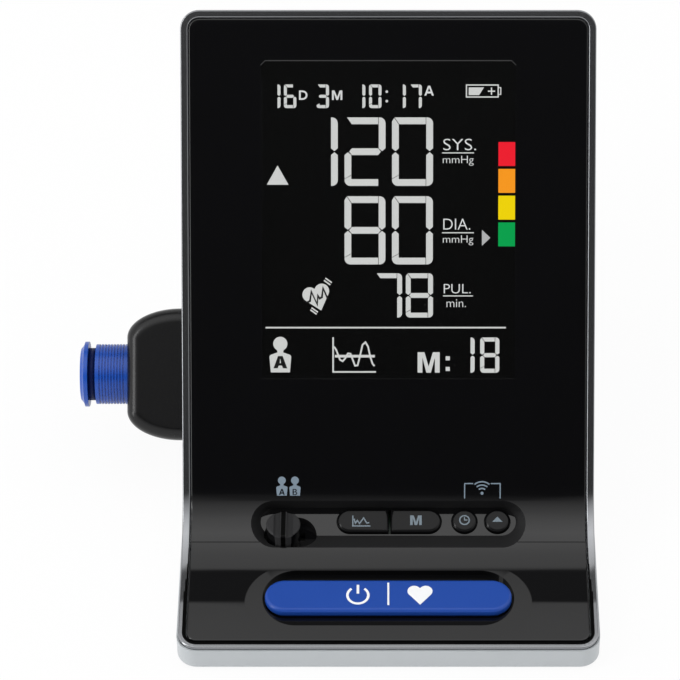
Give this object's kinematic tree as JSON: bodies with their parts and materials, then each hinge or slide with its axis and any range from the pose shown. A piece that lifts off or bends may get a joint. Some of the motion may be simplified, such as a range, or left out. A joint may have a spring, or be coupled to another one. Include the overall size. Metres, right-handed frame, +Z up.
{
  "type": "desktop blood pressure monitor",
  "caption": "Desktop arm blood pressure monitor: L-shaped black face with a steep display, key trough and blue start bar, silver wedge body, blue air coupling on the left side.",
  "frame": {"origin": "centre of the bounding box on the table plane, z = 0 under the rubber feet", "axes": "+Z up, the keys face -Y, the air coupling points to -X"},
  "size_m": [0.1388, 0.1438, 0.118],
  "materials": {
    "rim_silver": "metallic silver coat, satin",
    "shell_silver": "pale silver moulding, satin",
    "panel_black": "black, polished",
    "window_clear": "clear acrylic, polished",
    "key_grey": "dark grey, polished",
    "knob_grey": "dark grey, satin",
    "bar_blue": "blue, semi-gloss",
    "board_green": "green solder resist",
    "switch_black": "black moulding",
    "lcd_dark": "dark display glass",
    "light_white": "white diffuser",
    "inner_grey": "grey moulding",
    "soft_rubber": "black, matt",
    "spring_steel": "nickel-plated",
    "cell_jacket": "plain sleeve",
    "motor_steel": "drawn steel",
    "air_plastic": "natural moulding",
    "tube_rubber": "translucent silicone",
    "coupling_blue": "blue moulding, semi-gloss",
    "collar_blue": "blue moulding, semi-gloss",
    "foot_rubber": "black, matt",
    "screw_steel": "zinc-plated"
  },
  "bodies": {
    "console": {"rim_frame": "rim_silver", "bottom_shell": "shell_silver", "rear_housing": "shell_silver", "face_panel": "panel_black", "socket_housing": "panel_black", "display_window": "window_clear", "key_board": "board_green", "start_board": "board_green", "main_board": "board_green", "key_switches": "switch_black", "start_switch": "switch_black", "slide_switch": "switch_black", "board_chips": "switch_black", "buzzer": "switch_black", "lcd_glass": "lcd_dark", "backlight": "light_white", "lcd_holder": "inner_grey", "battery_tray": "inner_grey", "contact_strip": "soft_rubber", "radio_module": "spring_steel", "battery_cells": "cell_jacket", "plate_contacts": "spring_steel", "leaf_contacts": "spring_steel", "pump_motor": "motor_steel", "pump_head": "air_plastic", "pump_diaphragm": "soft_rubber", "pump_cradle": "soft_rubber", "air_manifold": "air_plastic", "pressure_sensor": "air_plastic", "exhaust_valve": "motor_steel", "pump_tube": "tube_rubber", "port_tube": "tube_rubber", "coupling_body": "coupling_blue", "seal_ring": "soft_rubber", "collar_spring": "spring_steel", "coupling_nut": "air_plastic", "rubber_feet": "foot_rubber", "housing_screws": "screw_steel", "key_board_screws": "screw_steel", "main_board_screws": "screw_steel", "lcd_holder_screws": "screw_steel"},
    "start_button": {"start_stop_button": "bar_blue"},
    "average_key": {"average_button": "key_grey"},
    "memory_key": {"memory_button": "key_grey"},
    "clock_key": {"clock_button": "key_grey"},
    "up_key": {"up_button": "key_grey"},
    "user_switch": {"user_switch_knob": "knob_grey", "switch_slider": "switch_black"},
    "collar": {"release_collar": "collar_blue"},
    "door": {"battery_door": "shell_silver"},
    "rotor": {"pump_rotor": "motor_steel"},
    "plunger": {"valve_plunger": "motor_steel"}
  },
  "joints": [
    {"name": "start_press", "type": "slide", "parent": "console", "child": "start_button", "axis": [0, 0.0523, -0.9986], "range_m": [0, 0.0005], "stiffness_N_per_m": 1000, "springref_m": -0.0006},
    {"name": "average_press", "type": "slide", "parent": "console", "child": "average_key", "axis": [0, 0.342, -0.9397], "range_m": [0, 0.0005], "stiffness_N_per_m": 800, "springref_m": -0.0005},
    {"name": "memory_press", "type": "slide", "parent": "console", "child": "memory_key", "axis": [0, 0.342, -0.9397], "range_m": [0, 0.0005], "stiffness_N_per_m": 800, "springref_m": -0.0005},
    {"name": "clock_press", "type": "slide", "parent": "console", "child": "clock_key", "axis": [0, 0.342, -0.9397], "range_m": [0, 0.0005], "stiffness_N_per_m": 800, "springref_m": -0.0005},
    {"name": "up_press", "type": "slide", "parent": "console", "child": "up_key", "axis": [0, 0.342, -0.9397], "range_m": [0, 0.0005], "stiffness_N_per_m": 800, "springref_m": -0.0005},
    {"name": "user_slide", "type": "slide", "parent": "console", "child": "user_switch", "axis": [1, 0, 0], "range_m": [0, 0.0036]},
    {"name": "collar_release", "type": "slide", "parent": "console", "child": "collar", "axis": [1, 0, 0], "range_m": [0, 0.0015], "stiffness_N_per_m": 800, "springref_m": -0.001, "deforming": ["collar_spring"]},
    {"name": "door_hinge", "type": "hinge", "parent": "console", "child": "door", "pos_m": [0.01402, -0.01121, 0.0009], "axis": [-1, 0, 0], "range_deg": [0, 80]},
    {"name": "rotor_spin", "type": "hinge", "parent": "console", "child": "rotor", "pos_m": [0.01402, 0.03549, 0.0328], "axis": [1, 0, 0], "continuous": true},
    {"name": "plunger_slide", "type": "slide", "parent": "console", "child": "plunger", "axis": [1, 0, 0], "range_m": [0, 0.0008], "stiffness_N_per_m": 400, "springref_m": -0.001}
  ]
}
